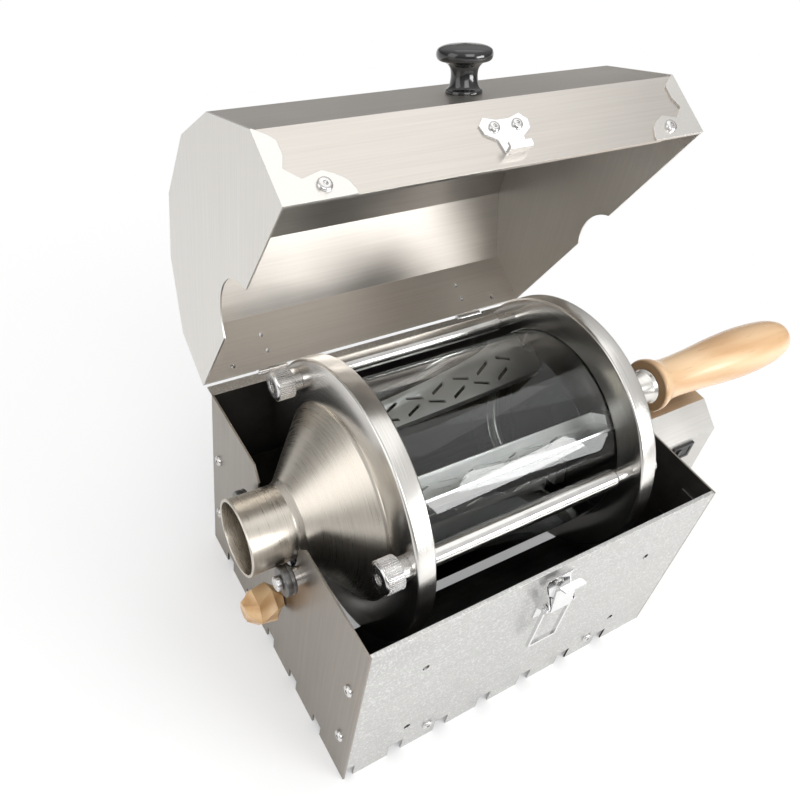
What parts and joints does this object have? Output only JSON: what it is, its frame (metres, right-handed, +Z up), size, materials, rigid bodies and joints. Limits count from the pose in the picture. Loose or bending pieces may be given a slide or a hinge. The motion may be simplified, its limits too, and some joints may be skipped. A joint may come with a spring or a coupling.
{
  "type": "home coffee bean roaster",
  "caption": "Countertop coffee roaster: sheet steel box, hinged faceted lid, glass drum with funnel spout on rollers, gear drive, wooden handle.",
  "frame": {"origin": "on the standing plane, midway between the two side panels and midway between the lid's front and back faces when it is shut; the housing's rear panel is set 7 mm in from the lid's back face, so the housing's own footprint is centred at y -3.5", "axes": "+X along the drum axis towards the wooden handle, -Y towards the latch at the front, +Z up"},
  "size_m": [0.4784, 0.2718, 0.3654],
  "materials": {
    "brushed_stainless": "brushed",
    "turned_stainless": "turned",
    "polished_steel": "polished",
    "bearing_steel": "ground",
    "brass": "satin",
    "motor_case": "satin",
    "black_plastic": "matte",
    "black_knob": "gloss",
    "handle_wood": "varnished",
    "knob_wood": "satin",
    "quartz_glass": "clear",
    "seal": "matte"
  },
  "bodies": {
    "housing": {"base_rail_screws": "polished_steel", "front_bottom_rail": "brushed_stainless", "front_heat_baffle": "brushed_stainless", "front_panel": "brushed_stainless", "gear_motor": "motor_case", "hinge_fixed_leaves": "polished_steel", "hinge_fixed_screws": "polished_steel", "hinge_pins": "polished_steel", "latch_base": "polished_steel", "latch_pin": "polished_steel", "latch_screws": "polished_steel", "left_side_panel": "brushed_stainless", "motor_housing": "brushed_stainless", "motor_housing_screws": "polished_steel", "motor_screws": "polished_steel", "power_inlet": "black_plastic", "rear_bottom_rail": "brushed_stainless", "rear_heat_baffle": "brushed_stainless", "rear_panel": "brushed_stainless", "right_side_panel": "brushed_stainless", "roller_bolts": "polished_steel", "roller_nuts": "polished_steel", "roller_spacers": "polished_steel", "side_knob_screw": "polished_steel", "side_panel_screws": "polished_steel", "switch_frame": "black_plastic", "wooden_side_knob": "knob_wood"},
    "lid": {"lid_cover": "brushed_stainless", "lid_left_end": "brushed_stainless", "lid_right_end": "brushed_stainless", "lid_end_screws": "polished_steel", "lid_knob": "black_knob", "lid_knob_screw": "polished_steel", "catch_plate": "polished_steel", "catch_screws": "polished_steel", "hinge_lid_leaves": "polished_steel", "hinge_lid_screws": "polished_steel"},
    "drum": {"funnel_spout": "turned_stainless", "front_ring": "turned_stainless", "rear_ring": "turned_stainless", "front_gasket": "seal", "rear_gasket": "seal", "glass_tube": "quartz_glass", "tie_rods": "turned_stainless", "thumb_nuts": "polished_steel", "rear_cap_nuts": "polished_steel", "stirring_vanes": "turned_stainless", "drive_shaft": "turned_stainless", "drum_gear": "bearing_steel", "gear_collar": "turned_stainless", "handle_ferrule": "turned_stainless", "wooden_handle": "handle_wood"},
    "drum_carrier": {"rear_bearing": "bearing_steel"},
    "pinion": {"motor_pinion": "brass"},
    "front_roller": {"front_support_roller": "bearing_steel"},
    "back_roller": {"back_support_roller": "bearing_steel"},
    "lever": {"latch_lever": "polished_steel"},
    "bail": {"latch_bail": "polished_steel"},
    "rocker": {"switch_rocker": "black_plastic"}
  },
  "joints": [
    {"name": "lid_hinge", "type": "hinge", "parent": "housing", "child": "lid", "pos_m": [0, 0.1052, 0.144], "axis": [-1, 0, 0], "range_deg": [-62, 0]},
    {"name": "drum_lift", "type": "slide", "parent": "housing", "child": "drum_carrier", "axis": [0, 0, 1], "range_m": [0, 0.105]},
    {"name": "drum_spin", "type": "hinge", "parent": "drum_carrier", "child": "drum", "pos_m": [0, 0, 0.13], "axis": [1, 0, 0], "continuous": true},
    {"name": "pinion_spin", "type": "hinge", "parent": "housing", "child": "pinion", "pos_m": [0.137, 0, 0.0998], "axis": [1, 0, 0], "continuous": true},
    {"name": "front_roller_spin", "type": "hinge", "parent": "housing", "child": "front_roller", "pos_m": [-0.1328, -0.0295, 0.1181], "axis": [1, 0, 0], "continuous": true},
    {"name": "back_roller_spin", "type": "hinge", "parent": "housing", "child": "back_roller", "pos_m": [-0.1328, 0.0295, 0.1181], "axis": [1, 0, 0], "continuous": true},
    {"name": "latch_lever_hinge", "type": "hinge", "parent": "housing", "child": "lever", "pos_m": [0, -0.1105, 0.118], "axis": [1, 0, 0], "range_deg": [0, 150]},
    {"name": "latch_bail_hinge", "type": "hinge", "parent": "housing", "child": "bail", "pos_m": [0, -0.1105, 0.118], "axis": [-1, 0, 0], "range_deg": [0, 184]},
    {"name": "switch_rock", "type": "hinge", "parent": "housing", "child": "rocker", "pos_m": [0.2, -0.033, 0.08], "axis": [0, 0, -1], "range_deg": [0, 16]}
  ],
  "couplings": [
    {"joint": "pinion_spin", "follows": "drum_spin", "ratio": -3},
    {"joint": "front_roller_spin", "follows": "drum_spin", "ratio": -2.5},
    {"joint": "back_roller_spin", "follows": "drum_spin", "ratio": -2.5}
  ]
}
